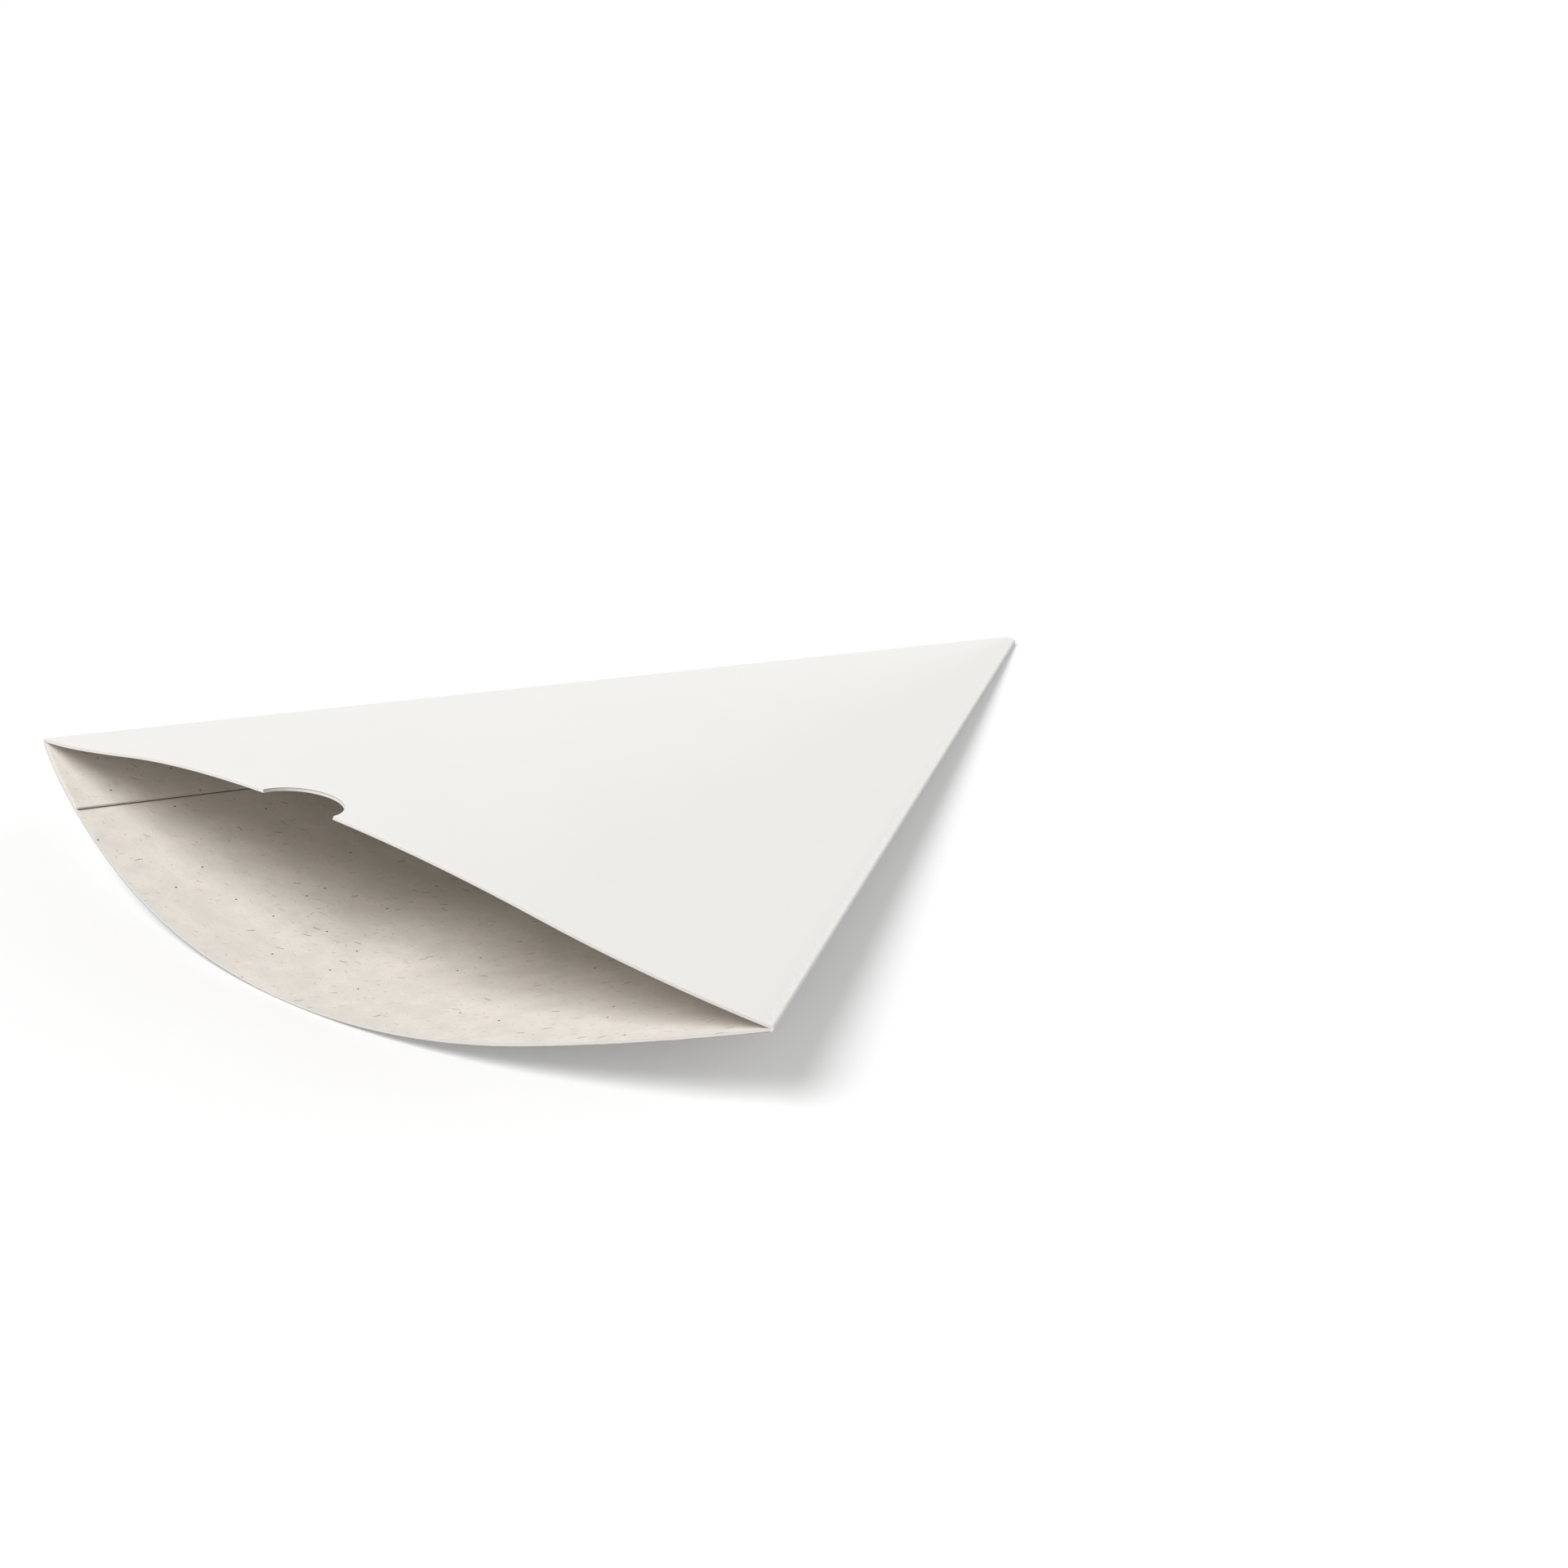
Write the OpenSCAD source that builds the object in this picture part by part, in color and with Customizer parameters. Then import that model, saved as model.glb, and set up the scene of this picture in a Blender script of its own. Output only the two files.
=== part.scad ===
// Snack cone: one die-cut sheet of coated board, folded into two panels and glued.
// It lies open on a table, with its mouth towards -Y and its tip towards +Y.

/* [Panels] */
// Length of each fold, from the tip to the corner of the mouth
crease_len = 205; // [150:1:260]
// How much further the middle of the rim lies from the tip than its corners
rim_rise = 6; // [0:0.5:20]
// Thickness of the board
board_t = 0.5; // [0.3:0.05:1]
// Length of the sharp point that is cut off at the tip
tip_cut = 2.5; // [1.5:0.5:8]

/* [Opening] */
// Width of the open mouth, from corner to corner
mouth_w = 137; // [115:1:155]
// Height of the open mouth at its middle, inside
mouth_h = 29; // [16:1:40]
// Width at the mouth of the flat strip beside each fold
flat_w = 33.5; // [10:0.5:42]

/* [Thumb notch] */
// Radius of the notch in the upper rim
notch_r = 6.4; // [3:0.2:14]

/* [Glue flap] */
// Width of the flap that is glued inside the lower panel
flap_w = 18; // [8:0.5:24]
// Distance from the tip to the start of the flap
flap_start = 34; // [25:1:80]
// Length over which the flap grows to its full width
flap_taper = 30; // [10:1:60]
// How far the flap stays back from the rim
flap_setback = 1; // [0.5:0.5:10]

/* [Hidden] */
$fn = 96;

// Length of a panel along its middle line, and a length past every rim
rim_len = crease_len + rim_rise;
reach = rim_len + 10;

// Half the angle between the two folds, and the rise of each panel's middle line
half_open = asin(mouth_w / 2 / crease_len);
rise = asin(mouth_h / 2 / rim_len);

// Each panel is a flat strip, a bow and a flat strip. The bow is part of a circular
// cone that touches both strips, with its axis tilted down from the plane of the folds
strip = asin(flat_w / crease_len);
bow_slope = atan((cos(strip) - cos(rise) * cos(half_open)) / (sin(rise) * cos(half_open)));
axis_tilt = rise - bow_slope;
axis_to_fold = acos(cos(axis_tilt) * cos(half_open));
half_bow = atan2(sin(half_open), -sin(axis_tilt) * cos(half_open))
           - acos(tan(bow_slope) / tan(axis_to_fold));
strip_tilt = asin(sin(bow_slope) / sin(axis_to_fold))
             + atan2(sin(axis_tilt), cos(axis_tilt) * sin(half_open));

// The rim is cut by a ball that passes through its corners and its middle
rim_centre = (rim_len ^ 2 - crease_len ^ 2)
             / (2 * (rim_len * cos(rise) - crease_len * cos(half_open)));
rim_ball_r = sqrt(crease_len ^ 2 + rim_centre ^ 2
                  - 2 * crease_len * rim_centre * cos(half_open));

// Distance from the middle of the part to its uncut tip
mid_to_tip = (rim_len + tip_cut) / 2;

// How far the outside of a fold stands out from the line where the inner faces meet. It
// is more than the board's thickness, so that its flats meet the faces at clear edges
fold_r = 1.1 * board_t;

// How far a bow turns past the middle plane, where its mirror image meets it
lap = 5;

// Places its children at the right fold: X along it, Y away from the upper panel,
// Z out of the board
module at_fold() {
    rotate([0, 0, half_open - 90]) rotate([-strip_tilt, 0, 0]) children();
}

// Places its children at the right bow: Z along its axis, X to its edge
module at_bow() {
    at_fold()
        rotate([0, 0, -strip]) rotate([180, 0, 0]) rotate([0, 90 - bow_slope, 0]) children();
}

// A layer of board between two depths, measured outwards from the inner face: the bow,
// and the flat strip that goes on from its edge past the fold
module board_layer(from, to) {
    along = [sin(bow_slope), cos(bow_slope)];
    out = [cos(bow_slope), -sin(bow_slope)];
    section = [
        tip_cut / 2 * along + from * out,
        reach * along + from * out,
        reach * along + to * out,
        tip_cut / 2 * along + to * out
    ];
    at_bow() {
        rotate_extrude(angle = half_bow + lap) polygon(section);
        rotate([90, 0, 0]) linear_extrude(mouth_w / 2) polygon(section);
    }
}

// The space that the board may fill at the right: up to the fold, whose outside is
// rounded with flats
module inside_fold() {
    at_fold()
        rotate([90, 0, 90])
            linear_extrude(reach)
                polygon([
                    [-mouth_w, -mouth_h],
                    [-mouth_w, mouth_h],
                    [0, mouth_h],
                    for (turn = [0 : 30 : 90]) fold_r * [sin(turn), cos(turn)],
                    [fold_r, -mouth_h]
                ]);
}

// The half of the space to the right of the middle plane X = 0
module right_half() {
    translate([0, -reach, -reach]) cube([reach, reach, 2 * reach]);
}

// The ball that cuts the rim, or one smaller by the setback
module rim_ball(setback) {
    translate([0, -rim_centre, 0]) sphere(r = rim_ball_r - setback);
}

// The notch for a thumb, cut through the middle of the upper rim
module thumb_notch() {
    rotate([-rise, 0, 0])
        translate([0, -rim_len, -mouth_h / 4])
            cylinder(r = notch_r, h = mouth_h / 2);
}

// The upper panel and its half of each fold, down to the plane Z = 0. Its two halves
// are mirror images
module panel(notched) {
    for (side = [0, 1])
        mirror([side, 0, 0])
            intersection() {
                difference() {
                    intersection() {
                        board_layer(0, board_t);
                        inside_fold();
                        translate([-mouth_w, -reach, 0]) cube([2 * mouth_w, reach, mouth_h]);
                        rim_ball(0);
                    }
                    if (notched) thumb_notch();
                }
                right_half();
            }
}

// The flap: a second layer on the inside of the lower panel, along the left fold. It is
// sunk into the panel by half of the board's thickness, so that the two are one piece
module glue_flap() {
    mirror([1, 0, 0])
        mirror([0, 0, 1])
            intersection() {
                board_layer(-board_t, board_t / 2);
                right_half();
                at_fold()
                    mirror([0, 1, 0])
                        translate([0, 0, -mouth_h / 2])
                            linear_extrude(mouth_h)
                                polygon([
                                    [flap_start, 0],
                                    [flap_start + flap_taper, flap_w],
                                    [reach, flap_w],
                                    [reach, 0]
                                ]);
                rim_ball(flap_setback);
            }
}

// The whole sheet, with its folds in the plane Z = 0 and its point at the origin
module folded_sheet() {
    panel(true);
    mirror([0, 0, 1]) panel(false);
    glue_flap();
}

// The cone at rest on the middle line of its lower panel
module folded_cone() {
    color([0.93, 0.92, 0.90])
        translate([0, mid_to_tip, board_t])
            difference() {
                rotate([-rise, 0, 0]) folded_sheet();
                translate([-mouth_w / 2, -tip_cut, -mouth_h / 2]) cube([mouth_w, reach, mouth_h]);
            }
}

folded_cone();
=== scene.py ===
import math

import bmesh
import bpy
from mathutils import Matrix, Vector


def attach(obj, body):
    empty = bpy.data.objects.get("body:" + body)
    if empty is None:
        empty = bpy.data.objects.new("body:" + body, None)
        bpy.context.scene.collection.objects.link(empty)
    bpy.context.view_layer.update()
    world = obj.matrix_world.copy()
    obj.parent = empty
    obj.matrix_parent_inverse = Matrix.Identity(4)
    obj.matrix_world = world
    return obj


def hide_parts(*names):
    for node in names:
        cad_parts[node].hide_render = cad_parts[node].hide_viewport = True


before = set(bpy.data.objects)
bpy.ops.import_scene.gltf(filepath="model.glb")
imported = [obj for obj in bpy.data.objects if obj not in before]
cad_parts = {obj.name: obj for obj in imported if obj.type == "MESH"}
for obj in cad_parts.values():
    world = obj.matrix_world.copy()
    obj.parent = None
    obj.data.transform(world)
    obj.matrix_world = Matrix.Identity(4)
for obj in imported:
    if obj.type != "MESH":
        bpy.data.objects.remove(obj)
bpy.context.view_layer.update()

# The sheet's sizes, in metres. Only the flap's setback differs from the part's source, where
# it is 1 mm
FOLD_LENGTH = 0.205
RIM_RISE = 0.006
BOARD = 0.0005
TIP_CUT = 0.0025
MOUTH_WIDTH = 0.137
MOUTH_HEIGHT = 0.029
FLAT_WIDTH = 0.0335
NOTCH_RADIUS = 0.0064
FLAP_WIDTH = 0.018
FLAP_START = 0.034
FLAP_TAPER = 0.030
FLAP_SETBACK = 0.0002

# How far the flap is sunk into the lower panel
FLAP_SINK = BOARD * 0.3

# The round folds: steps round a whole fold, and the share and steps of the one at the seam
FOLD_STEPS = 10
SEAM_SHARE = 0.58
SEAM_STEPS = 6

# How far the lower panel's cut edge stands out beside the fold, in board thicknesses
SEAM_STEP = 0.62

# Points nearer than this are one point, and flat angles nearer than this are one angle
SAME_POINT = 2e-6
SAME_ANGLE = 1e-6

# The folded shape: two folds in the plane Z = 0 that meet at the tip, and two bowed panels
RIM_LENGTH = FOLD_LENGTH + RIM_RISE
HALF_OPEN = math.asin(MOUTH_WIDTH / 2 / FOLD_LENGTH)
RISE = math.asin(MOUTH_HEIGHT / 2 / RIM_LENGTH)
STRIP = math.asin(FLAT_WIDTH / FOLD_LENGTH)
BOW_SLOPE = math.atan(
    (math.cos(STRIP) - math.cos(RISE) * math.cos(HALF_OPEN))
    / (math.sin(RISE) * math.cos(HALF_OPEN))
)
AXIS_TILT = RISE - BOW_SLOPE
AXIS_TO_FOLD = math.acos(math.cos(AXIS_TILT) * math.cos(HALF_OPEN))
HALF_BOW = math.atan2(
    math.sin(HALF_OPEN), -math.sin(AXIS_TILT) * math.cos(HALF_OPEN)
) - math.acos(math.tan(BOW_SLOPE) / math.tan(AXIS_TO_FOLD))

# Angles in the flat sheet from a panel's middle line: to the bow's edge, the fold and the notch
BOW_FLAT = HALF_BOW * math.sin(BOW_SLOPE)
HALF_PANEL = BOW_FLAT + STRIP
NOTCH_FLAT = math.asin(NOTCH_RADIUS / RIM_LENGTH)

# The ball that the rim lies on
RIM_CENTRE = (RIM_LENGTH**2 - FOLD_LENGTH**2) / (
    2 * (RIM_LENGTH * math.cos(RISE) - FOLD_LENGTH * math.cos(HALF_OPEN))
)
RIM_BALL = math.sqrt(
    FOLD_LENGTH**2 + RIM_CENTRE**2 - 2 * FOLD_LENGTH * RIM_CENTRE * math.cos(HALF_OPEN)
)

BOW_AXIS = Vector((0, -math.cos(AXIS_TILT), math.sin(AXIS_TILT)))
MIDDLE = Vector((0, -math.cos(RISE), math.sin(RISE)))
MIDDLE_OUT = Vector((0, math.sin(RISE), math.cos(RISE)))
AT_REST = Matrix.Translation((0, (RIM_LENGTH + TIP_CUT) / 2, BOARD)) @ Matrix.Rotation(
    -RISE, 4, "X"
)

# The two panels, by the side of the folds' plane that each is on
UPPER, LOWER = 1, -1

# The places of the finishes in a piece's list
OUTSIDE, INSIDE, EDGE = 0, 1, 2

# How far the lower panel lies from the upper one in the flat map, so that no pattern repeats
LOWER_SHIFT = 0.5

# Edges that turn by more than this stay sharp
SHARP = math.radians(28)

# The table's half width, its white, and how much brighter it is where it is seen directly
TABLE_REACH = 4
TABLE_WHITE = 0.77
TABLE_LIFT = 0.19

# What the room alone adds on the table, where 1 is white
ROOM_LEVEL = 0.23

# The camera's place, in metres, its direction and about where its right side points
CAMERA_PLACE = Vector((0.2262, -0.3436, 0.1764))
CAMERA_FORWARD = Vector((-0.4836, 0.7837, -0.3899)).normalized()
CAMERA_RIGHT = Vector((0.8288, 0.5532, 0.084))


def ruling(turn, panel):
    """Direction from the tip, and outward normal, of a panel's straight line at a flat angle."""
    side = 1 if turn >= 0 else -1
    bowed = min(abs(turn), BOW_FLAT)
    bow = Matrix.Rotation(-side * bowed / math.sin(BOW_SLOPE), 3, BOW_AXIS)
    along, out = bow @ MIDDLE, bow @ MIDDLE_OUT
    along = Matrix.Rotation(side * (abs(turn) - bowed), 3, out) @ along
    along.z *= panel
    out.z *= panel
    return along, out


def rim_reach(turn, panel):
    """Distance from the tip to the rim, or to the notch in it."""
    if panel == UPPER and abs(turn) < NOTCH_FLAT:
        across = RIM_LENGTH * math.sin(turn)
        return RIM_LENGTH * math.cos(turn) - math.sqrt(NOTCH_RADIUS**2 - across**2)
    along, _ = ruling(turn, panel)
    toward = along.dot(Vector((0, -RIM_CENTRE, 0)))
    return toward + math.sqrt(toward**2 - RIM_CENTRE**2 + RIM_BALL**2)


def tip_reach(turn, panel):
    """Distance from the uncut tip to the straight cut that blunts it."""
    along, _ = ruling(turn, panel)
    return -TIP_CUT / (along.y * math.cos(RISE) + along.z * math.sin(RISE))


def steps(start, end, count):
    """Even steps from the start, without the end."""
    return [start + (end - start) * k / count for k in range(count)]


def panel_turns(in_notch=16, in_bow=14, in_strip=8):
    """Flat angles of the mesh's rulings, closest together where the notch curves round."""
    quarter = math.pi / 2
    notch = [
        math.asin(math.sin(NOTCH_FLAT) * math.sin(a)) for a in steps(0, quarter, in_notch)
    ]
    bow = steps(NOTCH_FLAT, BOW_FLAT, in_bow)
    strip = steps(BOW_FLAT, HALF_PANEL, in_strip)
    half = notch[1:] + bow + strip + [HALF_PANEL]
    return [-turn for turn in reversed(half)] + [0] + half


def new_sheet():
    """A bmesh whose points carry their flat angle, distance from the tip and depth in the board."""
    bm = bmesh.new()
    for name in ("turn", "reach", "depth"):
        bm.verts.layers.float.new(name)
    return bm


def set_flat(bm, v, turn, reach):
    """Gives a point its place in the flat sheet."""
    v[bm.verts.layers.float["turn"]] = turn
    v[bm.verts.layers.float["reach"]] = reach


def bend(bm, verts, panel, depth):
    """Puts points of the flat sheet on a panel, at a depth from its inner face outwards."""
    for v in verts:
        along, out = ruling(v[bm.verts.layers.float["turn"]], panel)
        v.co = along * v[bm.verts.layers.float["reach"]] + out * depth
        v[bm.verts.layers.float["depth"]] = depth / BOARD


def face_out(bm, panel):
    """Turns an open skin so that its faces look out of the cone."""
    bm.normal_update()
    if sum(f.normal.z * f.calc_area() for f in bm.faces) * panel < 0:
        bmesh.ops.reverse_faces(bm, faces=bm.faces)


def is_fold(bm, v):
    return abs(abs(v[bm.verts.layers.float["turn"]]) - HALF_PANEL) < SAME_ANGLE


def board_panel(panel, rows=64):
    """One panel as a slab of board, open where the folds go on to the other panel."""
    bm = new_sheet()
    turns = panel_turns()
    columns = len(turns) - 1
    bmesh.ops.create_grid(bm, x_segments=columns, y_segments=rows, size=1)
    for v in bm.verts:
        turn = turns[round((v.co.x + 1) / 2 * columns)]
        share = (v.co.y + 1) / 2
        tip = tip_reach(turn, panel)
        set_flat(bm, v, turn, tip + (rim_reach(turn, panel) - tip) * share)
    bend(bm, bm.verts, panel, 0)
    face_out(bm, panel)
    folds = {e for e in bm.edges if all(is_fold(bm, v) for v in e.verts)}
    inner = set(bm.verts)
    bmesh.ops.extrude_face_region(
        bm, geom=bm.faces[:], edges_exclude=folds, use_keep_orig=True, use_normal_flip=True
    )
    outer = [v for v in bm.verts if v not in inner]
    bend(bm, outer, panel, BOARD)
    return bm


def fold_chain(bm, side):
    """The edges of the upper panel's outer skin along one fold."""
    depth = bm.verts.layers.float["depth"]
    turn_of = bm.verts.layers.float["turn"]
    return [
        e
        for e in bm.edges
        if all(
            is_fold(bm, v) and v[turn_of] * side > 0 and v[depth] > 0.5 and v.co.z > 0
            for v in e.verts
        )
    ]


def round_fold(bm, side, share, count):
    """Turns the upper panel's outer skin round a fold, by a share of the way to the lower one."""
    along, out = ruling(side * HALF_PANEL, UPPER)
    _, out_below = ruling(side * HALF_PANEL, LOWER)
    chain = fold_chain(bm, side)
    turned = bmesh.ops.spin(
        bm,
        geom=chain + list({v for e in chain for v in e.verts}),
        cent=(0, 0, 0),
        axis=-side * along,
        angle=share * out.angle(out_below),
        steps=count,
    )
    return [e for e in turned["geom_last"] if isinstance(e, bmesh.types.BMEdge)]


def glued_seam(bm, side, chain):
    """Goes on from a round fold to the lower panel's own cut edge, which lies against it."""
    along, out_below = ruling(side * HALF_PANEL, LOWER)
    away = Vector((side * math.cos(HALF_OPEN), math.sin(HALF_OPEN), 0))
    beside = (away - out_below * away.dot(out_below)).normalized()
    reach = bm.verts.layers.float["reach"]
    depth = bm.verts.layers.float["depth"]
    # Each corner's place in board thicknesses from the fold, and its depth in the board
    corners = [
        (away * 0.50 - Vector((0, 0, 0.10)), 0.3),
        (beside * SEAM_STEP + out_below * 0.22, 0.2),
        (beside * SEAM_STEP + out_below, 1.0),
        (out_below, 1.0),
    ]
    for place, corner_depth in corners:
        drawn = bmesh.ops.extrude_edge_only(bm, edges=chain)["geom"]
        chain = [e for e in drawn if isinstance(e, bmesh.types.BMEdge)]
        for v in (v for v in drawn if isinstance(v, bmesh.types.BMVert)):
            v.co = along * v[reach] + place * BOARD
            v[depth] = corner_depth


def add_folds(bm):
    """The right fold goes round to the lower panel. The left one ends in the glued seam."""
    round_fold(bm, 1, 1.0, FOLD_STEPS)
    glued_seam(bm, -1, round_fold(bm, -1, SEAM_SHARE, SEAM_STEPS))
    bmesh.ops.remove_doubles(bm, verts=bm.verts[:], dist=SAME_POINT)
    ends = [e for e in bm.edges if e.is_boundary]
    bmesh.ops.holes_fill(bm, edges=ends, sides=0)


def glue_flap(columns=16, rows=70):
    """The flap as a slab on the inside of the lower panel, along the left fold."""
    bm = new_sheet()
    bmesh.ops.create_grid(bm, x_segments=columns, y_segments=rows, size=1)
    for v in bm.verts:
        across = FLAP_WIDTH * (v.co.x + 1) / 2
        start = FLAP_START + FLAP_TAPER * across / FLAP_WIDTH
        end = FOLD_LENGTH
        # The rim's distance depends on the angle, so a few rounds find where the flap ends
        for _ in range(4):
            turn = math.atan2(across, end) - HALF_PANEL
            rim = rim_reach(turn, LOWER) - FLAP_SETBACK
            end = math.sqrt(rim**2 - across**2)
        far = start + (end - start) * (v.co.y + 1) / 2
        set_flat(bm, v, math.atan2(across, far) - HALF_PANEL, math.hypot(across, far))
    bend(bm, bm.verts, LOWER, -BOARD)
    face_out(bm, LOWER)
    inner = set(bm.verts)
    bmesh.ops.extrude_face_region(
        bm, geom=bm.faces[:], use_keep_orig=True, use_normal_flip=True
    )
    bend(bm, [v for v in bm.verts if v not in inner], LOWER, FLAP_SINK)
    return bm


def finish_sheet(bm, name, finishes):
    """Sorts the faces into outside, inside and cut edge, maps them flat, and makes the object."""
    bmesh.ops.recalc_face_normals(bm, faces=bm.faces[:])
    turn_of, reach_of, depth_of = (
        bm.verts.layers.float[key] for key in ("turn", "reach", "depth")
    )
    flat = bm.loops.layers.uv.new("flat")
    for f in bm.faces:
        depths = [v[depth_of] for v in f.verts]
        if max(depths) - min(depths) > 0.5:
            f.material_index = EDGE
        else:
            f.material_index = OUTSIDE if min(depths) > 0.5 else INSIDE
        lower = f.calc_center_median().z < 0
        for loop in f.loops:
            turn, reach = loop.vert[turn_of], loop.vert[reach_of]
            loop[flat].uv = (
                reach * math.sin(turn) + (LOWER_SHIFT if lower else 0),
                reach * math.cos(turn),
            )
        f.smooth = True
    for e in bm.edges:
        e.smooth = len(e.link_faces) == 2 and e.calc_face_angle(0) < SHARP
    bmesh.ops.transform(bm, matrix=AT_REST, verts=bm.verts)
    mesh = bpy.data.meshes.new(name)
    bm.to_mesh(mesh)
    bm.free()
    for finish in finishes:
        mesh.materials.append(finish)
    piece = bpy.data.objects.new(name, mesh)
    bpy.context.scene.collection.objects.link(piece)
    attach(piece, "root")
    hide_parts("folded_cone")


class Value:
    """One output of a shader node. Arithmetic on it adds Math nodes."""

    def __init__(self, finish, socket):
        self.finish = finish
        self.socket = socket

    def math(self, operation, *values):
        return self.finish.add("Math", {"operation": operation}, dict(enumerate(values)))

    def __add__(self, other):
        return self.math("ADD", self, other)

    def __radd__(self, other):
        return self.math("ADD", other, self)

    def __sub__(self, other):
        return self.math("SUBTRACT", self, other)

    def __rsub__(self, other):
        return self.math("SUBTRACT", other, self)

    def __mul__(self, other):
        return self.math("MULTIPLY", self, other)

    def __rmul__(self, other):
        return self.math("MULTIPLY", other, self)

    def __abs__(self):
        return self.math("ABSOLUTE", self)

    def rises(self, low, high):
        """0 below low, 1 above high and a smooth step between."""
        return self.finish.add(
            "MapRange", {"interpolation_type": "SMOOTHSTEP"}, {0: self, 1: low, 2: high}
        )

    def falls(self, low, high):
        return 1 - self.rises(low, high)


class Finish:
    """The nodes of a material or of the room, and the one way in which they are added."""

    def __init__(self, owner):
        self.owner = owner
        self.owner.use_nodes = True
        self.tree = self.owner.node_tree
        self.tree.nodes.clear()

    def add(self, kind, settings=None, inputs=None, output=0):
        node = self.tree.nodes.new("ShaderNode" + kind)
        for key, value in (settings or {}).items():
            setattr(node, key, value)
        for key, value in (inputs or {}).items():
            if isinstance(value, Value):
                self.tree.links.new(value.socket, node.inputs[key])
            else:
                node.inputs[key].default_value = value
        return Value(self, node.outputs[output])

    def object_point(self):
        """The point on the folded sheet, in metres."""
        return self.add("TexCoord", output=3)

    def flat_point(self):
        """The point in the flat sheet, in metres."""
        return self.add("UVMap", {"uv_map": "flat"})

    def layer(self, name):
        """A number that the sheet's points carry."""
        return self.add("Attribute", {"attribute_name": name}, output=2)

    def scaled(self, point, scale):
        return self.add("Mapping", inputs={"Vector": point, "Scale": scale})

    def noise(self, point, scale, detail=2.0, rough=0.5):
        return self.add(
            "TexNoise",
            inputs={"Vector": point, "Scale": scale, "Detail": detail, "Roughness": rough},
        )

    def parts(self, vector):
        node = self.add("SeparateXYZ", inputs={0: vector}).socket.node
        return [Value(self, socket) for socket in node.outputs]

    def blend(self, share, first, second):
        """Goes from the first colour to the second as share goes from 0 to 1."""
        return self.add(
            "Mix", {"data_type": "RGBA"}, {0: share, 6: first, 7: second}, output=2
        )

    def bump(self, height, distance):
        return self.add(
            "Bump", inputs={"Height": height, "Distance": distance, "Strength": 1.0}
        )

    def seen_directly(self):
        """1 where the camera or a reflection looks at it, 0 for the light that it gives."""
        path = self.add("LightPath").socket.node
        camera_ray = Value(self, path.outputs["Is Camera Ray"])
        glossy_ray = Value(self, path.outputs["Is Glossy Ray"])
        return camera_ray.math("MAXIMUM", camera_ray, glossy_ray)

    def finished(self, shader, output="OutputMaterial"):
        node = self.tree.nodes.new("ShaderNode" + output)
        self.tree.links.new(shader.socket, node.inputs["Surface"])
        return self.owner

    def surface(self, inputs):
        return self.finished(self.add("BsdfPrincipled", inputs=inputs))


def new_finish(name):
    return Finish(bpy.data.materials.new(name))


def rgb(red, green, blue):
    return (red, green, blue, 1.0)


def strokes(finish, point, cells, length, width, share, lie, spread):
    """Short fibres, one in each cell of a Voronoi pattern, turned at random about their lie.

    cells is the number of cells in a metre, length and width are half sizes in cells, share
    is about how many cells have one, and lie and spread are angles in radians."""
    scaled = finish.scaled(point, (cells, cells, cells))
    cell = finish.add(
        "TexVoronoi", {"voronoi_dimensions": "2D"}, {"Vector": scaled, "Scale": 1.0}
    ).socket.node
    colour = finish.parts(Value(finish, cell.outputs["Color"]))
    offset = finish.add(
        "VectorMath",
        {"operation": "SUBTRACT"},
        {0: scaled, 1: Value(finish, cell.outputs["Position"])},
    )
    turned = finish.add(
        "VectorRotate",
        {"rotation_type": "Z_AXIS"},
        {"Vector": offset, "Angle": lie + (colour[0] - 0.5) * spread},
    )
    x, y, _ = finish.parts(turned)
    curl = (colour[1] - 0.5) * 1.2
    bent = abs(y + x * x * curl)
    line = bent.falls(width * 0.4, width) * abs(x).falls(length * 0.7, length)
    return line * colour[2].rises(1 - share, 1 - share * 0.3)


def specks(finish, point, cells, size, share):
    """Small round specks, size cells in radius, in a share of the cells of a Voronoi pattern."""
    cell = finish.add(
        "TexVoronoi", {"voronoi_dimensions": "2D"}, {"Vector": point, "Scale": cells}
    ).socket.node
    colour = finish.parts(Value(finish, cell.outputs["Color"]))
    spot = Value(finish, cell.outputs["Distance"]).falls(size * 0.5, size)
    return spot * colour[0].rises(1 - share, 1 - share + 0.01)


def coated_board():
    """The outside: smooth white coating with a small satin sheen."""
    f = new_finish("coated_white_board")
    point = f.flat_point()
    cloud = f.noise(point, 45, 3.0)
    grain = f.noise(point, 2600, 2.0)
    from_fold = f.layer("reach") * (HALF_PANEL - abs(f.layer("turn")))
    crushed = from_fold.falls(0.0004, 0.0016) * f.noise(point, 900, 3.0).rises(0.3, 0.7)
    base = f.blend(cloud.rises(0.3, 0.7), rgb(0.876, 0.864, 0.836), rgb(0.888, 0.876, 0.850))
    base = f.blend(grain.rises(0.35, 0.75) * 0.10, base, rgb(0.845, 0.835, 0.806))
    base = f.blend(crushed * 0.5, base, rgb(0.945, 0.935, 0.915))
    height = f.noise(point, 260, 3.0) * 0.6 + grain * 0.4 - crushed * 1.5
    return f.surface({
        "Base Color": base,
        "Roughness": 0.6 + (cloud - 0.5) * 0.1 + crushed * 0.2,
        "Normal": f.bump(height, 0.00003),
        "Specular IOR Level": 0.22,
    })


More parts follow.
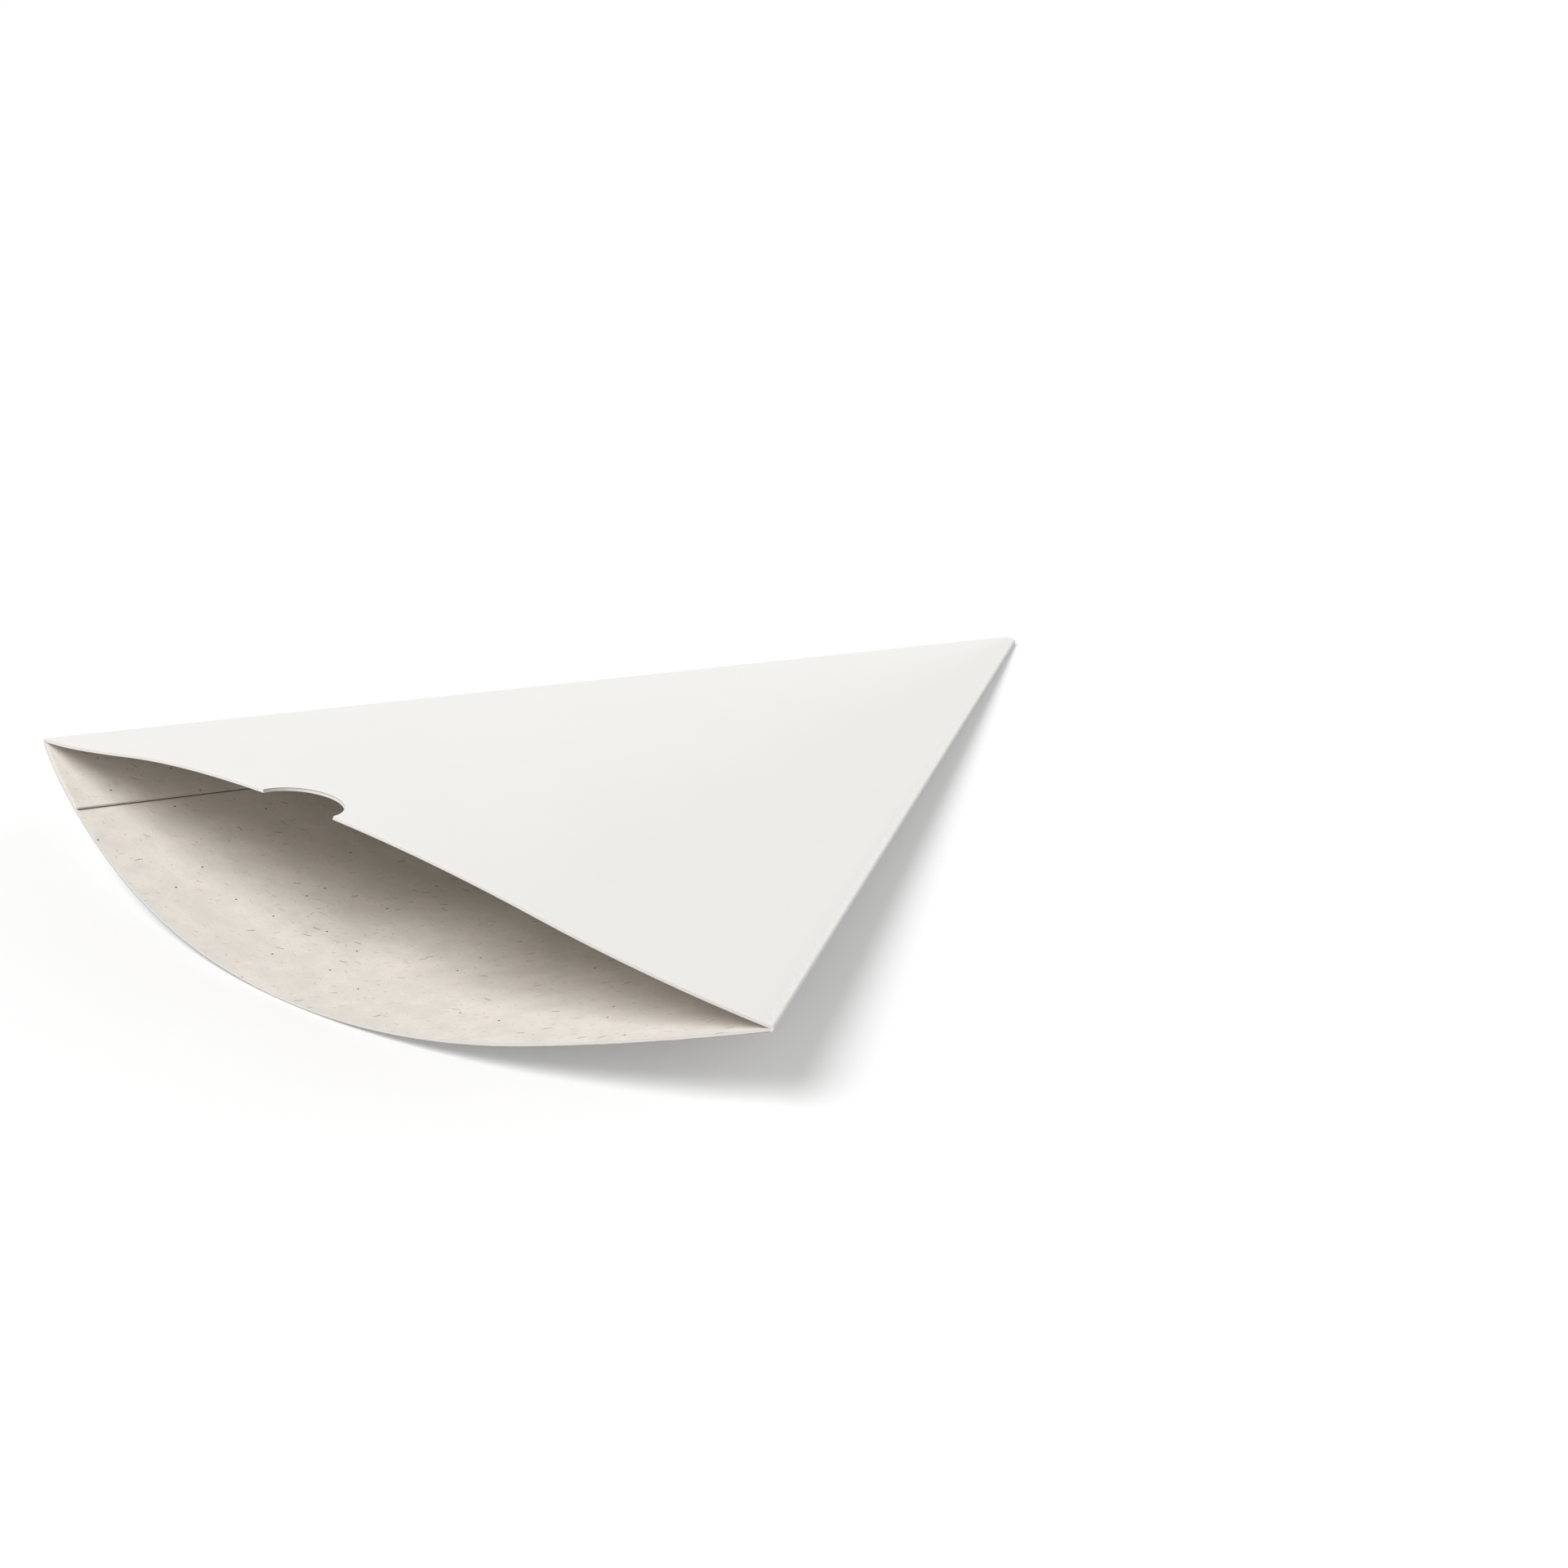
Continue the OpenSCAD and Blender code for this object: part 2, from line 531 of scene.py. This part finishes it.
def grey_board():
    """The inside: matt recycled board with fibres and specks."""
    f = new_finish("recycled_board_inside")
    point = f.flat_point()
    cloud = f.noise(point, 60, 4.0, 0.6)
    blotch = f.noise(point, 240, 3.0, 0.6)
    base = f.blend(cloud.rises(0.3, 0.7), rgb(0.768, 0.728, 0.676), rgb(0.806, 0.768, 0.718))
    base = f.blend(blotch.rises(0.45, 0.65) * 0.8, base, rgb(0.732, 0.710, 0.655))
    base = f.blend(blotch.falls(0.35, 0.5) * 0.7, base, rgb(0.832, 0.788, 0.734))
    grain = f.noise(point, 1500, 3.0, 0.6)
    base = f.blend(grain.rises(0.4, 0.8) * 0.22, base, rgb(0.655, 0.617, 0.57))
    pale = strokes(
        f, f.scaled(point, (1.0, 1.03, 1.0)), cells=360, length=0.34, width=0.038, share=0.26,
        lie=0.6, spread=4.5
    )
    dark = strokes(
        f, point, cells=430, length=0.31, width=0.036, share=0.16, lie=0.6, spread=1.5
    )
    short = strokes(
        f, f.scaled(point, (1.03, 1.0, 1.0)), cells=640, length=0.30, width=0.05, share=0.22,
        lie=0.6, spread=2.2
    )
    spots = specks(f, point, cells=130, size=0.026, share=0.42)
    faint_spots = specks(f, point, cells=420, size=0.08, share=0.16)
    base = f.blend(pale * 0.5, base, rgb(0.95, 0.93, 0.90))
    base = f.blend(short * 0.65, base, rgb(0.38, 0.34, 0.29))
    base = f.blend(dark, base, rgb(0.25, 0.22, 0.19))
    base = f.blend(spots, base, rgb(0.03, 0.028, 0.025))
    base = f.blend(faint_spots * 0.5, base, rgb(0.38, 0.33, 0.28))
    height = grain * 0.5 + f.noise(point, 420, 4.0, 0.6) * 0.5 + (dark + pale) * 0.5
    return f.surface({
        "Base Color": base,
        "Roughness": 0.92 - grain * 0.1,
        "Normal": f.bump(height, 0.00009),
        "Specular IOR Level": 0.25,
    })


def cut_edge():
    """The cut edge: a grey core between the white coating and the inner layer.

    On the lower panel and in the notch a dark grey line runs beside the coating. On the lower panel
    it is painted shade that stands for the contact shadow under the rim. In the notch it is a thin
    grey line.
    Along the flap's free side a dark line is painted shadow where the flap meets the panel."""
    f = new_finish("cut_edge_of_board")
    depth = f.layer("depth")
    place = f.object_point()
    torn = f.noise(place, 1400, 3.0) - 0.5
    layer = depth + torn * 0.25
    across = f.parts(f.flat_point())[0]
    # Painted shade: on the lower panel the dark grey line stands for the contact shadow under the
    # rim; in the notch it is a thin grey line
    below = across.rises(LOWER_SHIFT * 0.4, LOWER_SHIFT * 0.6)
    notch = abs(f.layer("turn")).falls(NOTCH_FLAT, NOTCH_FLAT * 1.02)
    painted_rim_shade_and_notch_line = 1 - (1 - below) * (1 - notch)
    base = f.blend(layer.rises(0.82, 0.95), rgb(0.74, 0.72, 0.685), rgb(0.86, 0.85, 0.83))
    base = f.blend(layer.rises(0.70, 0.82) * painted_rim_shade_and_notch_line, base, rgb(0.36, 0.35, 0.33))
    base = f.blend(layer.falls(0.06, 0.2), base, rgb(0.74, 0.70, 0.65))
    # Painted shadow: a dark line on the flap's free side where it meets the panel, standing for the
    # shade in the gap
    from_seam = f.layer("reach") * (f.layer("turn") + HALF_PANEL)
    free_side = from_seam.rises(FLAP_WIDTH - 0.001, FLAP_WIDTH - 0.0002)
    painted_seam_shadow = layer.rises(-0.46, -0.3) * depth.falls(0, 0.02) * free_side
    base = f.blend(painted_seam_shadow, base, rgb(0.10, 0.09, 0.075))
    return f.surface({
        "Base Color": base,
        "Roughness": 0.9,
        "Normal": f.bump(f.noise(place, 3000, 3.0), 0.00006),
        "Specular IOR Level": 0.2,
    })


def table_finish():
    """A white table that shows the shadow. Seen directly it is lifted to pure white."""
    f = new_finish("white_table")
    table = f.add("BsdfDiffuse", inputs={"Color": rgb(TABLE_WHITE, TABLE_WHITE, TABLE_WHITE)})
    lift = f.add("Emission", inputs={"Color": rgb(1, 1, 1), "Strength": TABLE_LIFT})
    seen_lift = f.add("MixShader", inputs={0: f.seen_directly(), 2: lift})
    return f.finished(f.add("AddShader", inputs={0: table, 1: seen_lift}))


def pale_room():
    """An even pale room, which looks white itself."""
    f = Finish(bpy.data.worlds.new("pale_room"))
    light = f.add("Background", inputs={"Color": rgb(1, 1, 1), "Strength": ROOM_LEVEL})
    white = f.add("Background", inputs={"Color": rgb(1, 1, 1), "Strength": 1.0})
    room = f.add("MixShader", inputs={0: f.seen_directly(), 1: light, 2: white})
    return f.finished(room, "OutputWorld")


def soft_lamp(name, azimuth, elevation, level, spread):
    """A large distant lamp. Its angles are in degrees, and its level is what it alone adds on
    the table, where 1 is white."""
    height = math.radians(elevation)
    data = bpy.data.lights.new(name, "SUN")
    data.energy = level * math.pi / math.sin(height)
    data.angle = math.radians(spread)
    lamp = bpy.data.objects.new(name, data)
    bpy.context.scene.collection.objects.link(lamp)
    toward = Matrix.Rotation(math.radians(azimuth), 3, "Z") @ Vector(
        (math.cos(height), 0, math.sin(height))
    )
    lamp.rotation_euler = toward.to_track_quat("Z", "Y").to_euler()


finishes = [coated_board(), grey_board(), cut_edge()]

sheet = board_panel(UPPER)
lower = board_panel(LOWER)
spare = bpy.data.meshes.new("lower_panel")
lower.to_mesh(spare)
lower.free()
sheet.from_mesh(spare)
bpy.data.meshes.remove(spare)
add_folds(sheet)
finish_sheet(sheet, "folded_board", finishes)
finish_sheet(glue_flap(), "glue_flap", finishes)

# The table, which goes far past what the camera sees
bm = bmesh.new()
bmesh.ops.create_grid(bm, x_segments=1, y_segments=1, size=TABLE_REACH)
table_mesh = bpy.data.meshes.new("table")
bm.to_mesh(table_mesh)
bm.free()
table_mesh.materials.append(table_finish())
table = bpy.data.objects.new("table", table_mesh)
bpy.context.scene.collection.objects.link(table)

# A soft lamp in front of the mouth, a little to its left, and a faint wide one behind
soft_lamp("front_lamp", azimuth=257.5, elevation=51, level=0.69, spread=33)
soft_lamp("back_lamp", azimuth=62, elevation=52, level=0.14, spread=60)
bpy.context.scene.world = pale_room()

# The camera, which is rolled because the cone of the photo leans a little to one side
camera = bpy.data.objects.new("camera", bpy.data.cameras.new("camera"))
bpy.context.scene.collection.objects.link(camera)
camera.data.lens = 60
camera.data.sensor_width = 36
camera.data.clip_start = 0.01
right = (CAMERA_RIGHT - CAMERA_FORWARD * CAMERA_RIGHT.dot(CAMERA_FORWARD)).normalized()
up = right.cross(CAMERA_FORWARD)
aim = Matrix((right, up, -CAMERA_FORWARD)).transposed().to_4x4()
camera.matrix_world = Matrix.Translation(CAMERA_PLACE) @ aim
bpy.context.scene.camera = camera

bpy.context.scene.view_settings.view_transform = "Standard"
